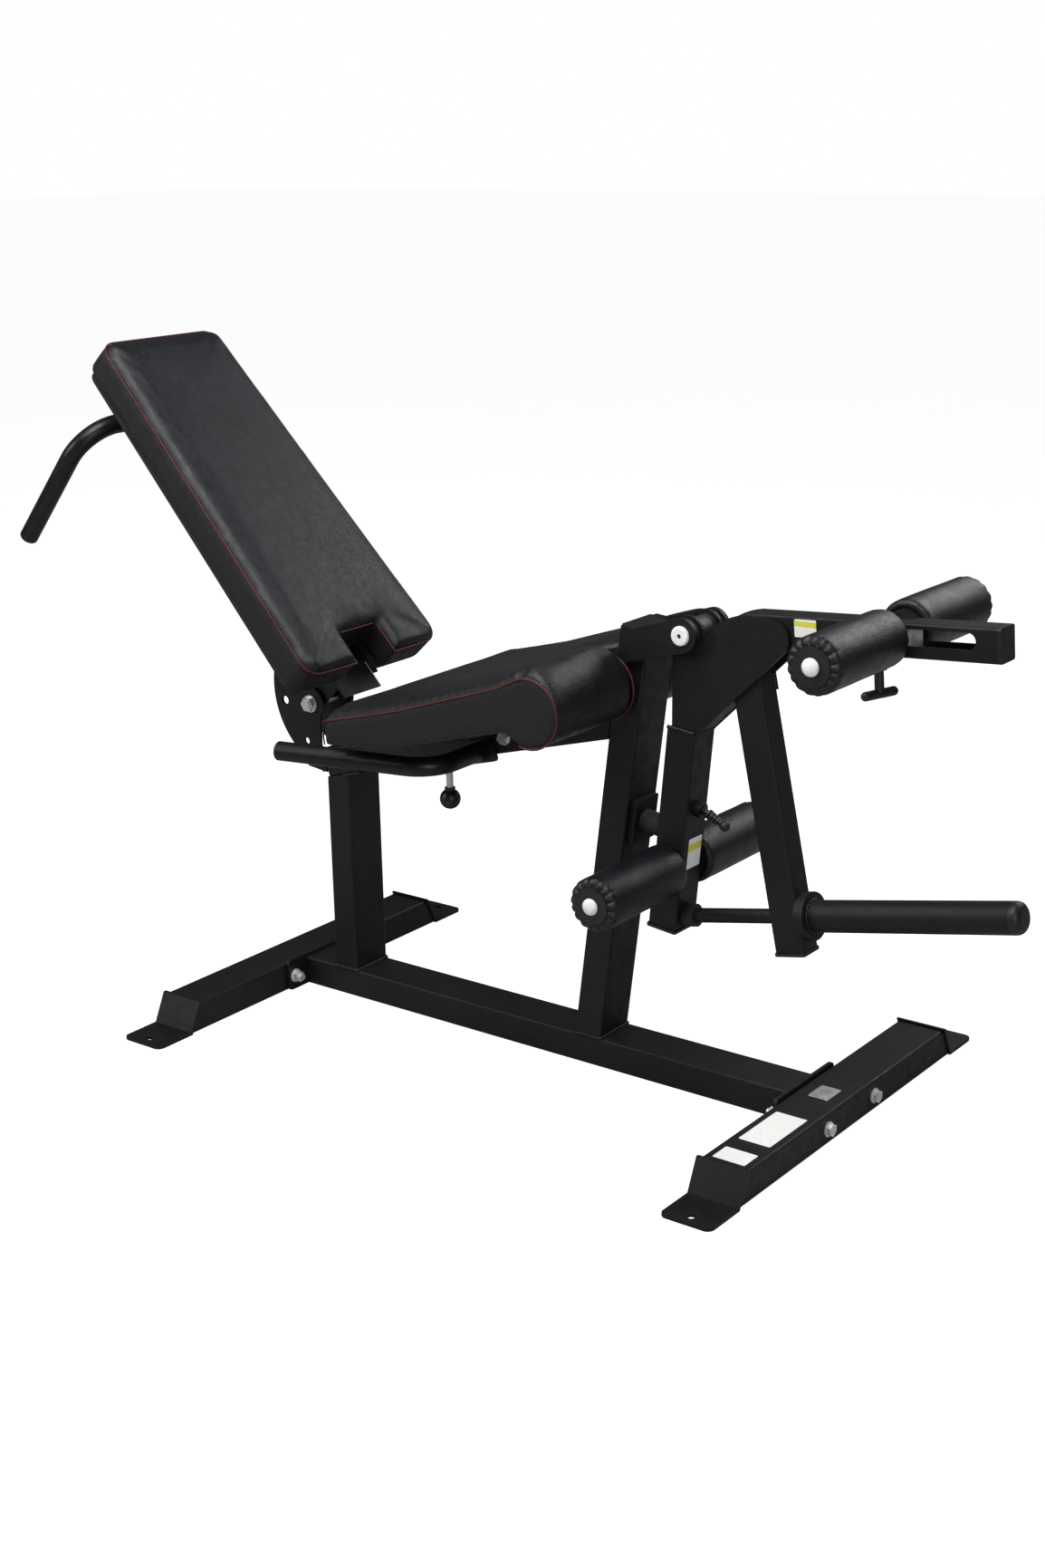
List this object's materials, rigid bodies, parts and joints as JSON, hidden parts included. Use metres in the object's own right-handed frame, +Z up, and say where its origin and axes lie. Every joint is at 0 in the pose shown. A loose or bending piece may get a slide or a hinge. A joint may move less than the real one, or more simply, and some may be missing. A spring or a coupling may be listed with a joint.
{
  "type": "lying leg curl and leg extension machine",
  "caption": "Plate-loaded leg machine: split knee-roll seat, reclining back pad, swinging lever with foam roller pairs and a plate peg on an H-shaped tube base",
  "frame": {"origin": "On the floor under the rear foot's centre line, in the machine's middle plane", "axes": "+X runs from the backrest towards the lever and the plate peg, +Y to the machine's left when facing +X, +Z up"},
  "size_m": [1.8239, 0.804, 1.1172],
  "materials": {
    "frame_paint": "fine-textured black powder coat",
    "bar_paint": "semi-gloss black paint",
    "zinc": "bright zinc plating",
    "white_caps": "steel axle with white domed end caps",
    "bare_steel": "grey satin",
    "seat_leather": "grained black upholstery with dark red piping",
    "back_leather": "grained black upholstery with dark red piping",
    "roller_leather": "grained black upholstery, gathered at the ends",
    "plywood": "black-stained plywood",
    "plastic": "moulded black",
    "white_plastic": "moulded white",
    "rubber": "black moulded rubber"
  },
  "bodies": {
    "frame": {"rear_foot": "frame_paint", "front_foot": "frame_paint", "foot_plates": "frame_paint", "base_beam": "frame_paint", "beam_flanges": "frame_paint", "foot_bolts": "zinc", "rear_post": "frame_paint", "front_post": "frame_paint", "seat_beam": "frame_paint", "pivot_ears": "frame_paint", "lever_axle": "zinc", "stop_plate": "frame_paint", "stop_bumper": "rubber", "seat_board": "plywood", "seat_pad": "seat_leather", "beam_bolt": "zinc", "side_handles": "bar_paint", "side_handle_caps": "plastic", "seat_pin_barrel": "frame_paint"},
    "seat_pin": {"seat_pin": "plastic"},
    "back_carriage": {"slide_tube": "frame_paint", "sector_plates": "frame_paint", "recline_bolt": "zinc"},
    "backrest": {"back_tube": "frame_paint", "back_lugs": "frame_paint", "back_brackets": "frame_paint", "back_board": "plywood", "back_pad": "back_leather", "head_bar": "bar_paint", "head_bar_caps": "plastic", "recline_pin_barrel": "frame_paint"},
    "recline_pin": {"recline_pin": "plastic"},
    "lever": {"hub_plates": "frame_paint", "pivot_barrel": "bare_steel", "pivot_bushes": "white_plastic", "guide_tube": "zinc", "upper_arm": "frame_paint", "peg_leg": "frame_paint", "lever_caps": "plastic", "weight_peg": "frame_paint", "peg_end_cap": "plastic", "brace_rod": "frame_paint", "brace_pad": "rubber", "upper_pin_barrel": "frame_paint"},
    "upper_pin": {"upper_pin": "plastic"},
    "lower_carriage": {"roller_tube": "frame_paint", "roller_tube_cap": "plastic", "lower_pin_barrel": "frame_paint", "lower_axle": "white_caps"},
    "lower_pin": {"lower_pin": "plastic"},
    "upper_carriage": {"slide_block": "zinc", "upper_axle": "white_caps"},
    "lower_roller_left": {"lower_roller_left": "roller_leather", "lower_core_left": "plastic"},
    "lower_roller_right": {"lower_roller_right": "roller_leather", "lower_core_right": "plastic"},
    "upper_roller_left": {"upper_roller_left": "roller_leather", "upper_core_left": "plastic"},
    "upper_roller_right": {"upper_roller_right": "roller_leather", "upper_core_right": "plastic"}
  },
  "joints": [
    {"name": "lever_pivot", "type": "hinge", "parent": "frame", "child": "lever", "pos_m": [0.8415, 0, 0.737], "axis": [0, -1, 0], "range_deg": [0, 100]},
    {"name": "back_slide", "type": "slide", "parent": "frame", "child": "back_carriage", "axis": [0.9655, 0, 0.2605], "range_m": [-0.12, 0]},
    {"name": "recline", "type": "hinge", "parent": "back_carriage", "child": "backrest", "pos_m": [0.085, 0, 0.521], "axis": [0, 1, 0], "range_deg": [-47, 8]},
    {"name": "seat_pin_pull", "type": "slide", "parent": "frame", "child": "seat_pin", "axis": [0, 0, -1], "range_m": [0, 0.012], "stiffness_N_per_m": 900},
    {"name": "recline_pin_pull", "type": "slide", "parent": "backrest", "child": "recline_pin", "axis": [0, 1, 0], "range_m": [0, 0.012], "stiffness_N_per_m": 900},
    {"name": "lower_carriage_slide", "type": "slide", "parent": "lever", "child": "lower_carriage", "axis": [-0.108, 0, -0.9942], "range_m": [0, 0.075]},
    {"name": "lower_pin_pull", "type": "slide", "parent": "lower_carriage", "child": "lower_pin", "axis": [0.9942, 0, -0.108], "range_m": [0, 0.012], "stiffness_N_per_m": 900},
    {"name": "upper_carriage_slide", "type": "slide", "parent": "lever", "child": "upper_carriage", "axis": [0.9978, 0, 0.0663], "range_m": [0, 0.075]},
    {"name": "upper_pin_pull", "type": "slide", "parent": "lever", "child": "upper_pin", "axis": [0.0663, 0, -0.9978], "range_m": [0, 0.012], "stiffness_N_per_m": 900},
    {"name": "lower_roller_left_spin", "type": "hinge", "parent": "lower_carriage", "child": "lower_roller_left", "pos_m": [0.8055, 0, 0.361], "axis": [0, 1, 0], "continuous": true},
    {"name": "lower_roller_right_spin", "type": "hinge", "parent": "lower_carriage", "child": "lower_roller_right", "pos_m": [0.8055, 0, 0.361], "axis": [0, 1, 0], "continuous": true},
    {"name": "upper_roller_left_spin", "type": "hinge", "parent": "upper_carriage", "child": "upper_roller_left", "pos_m": [1.16719, 0, 0.77286], "axis": [0, 1, 0], "continuous": true},
    {"name": "upper_roller_right_spin", "type": "hinge", "parent": "upper_carriage", "child": "upper_roller_right", "pos_m": [1.16719, 0, 0.77286], "axis": [0, 1, 0], "continuous": true}
  ]
}
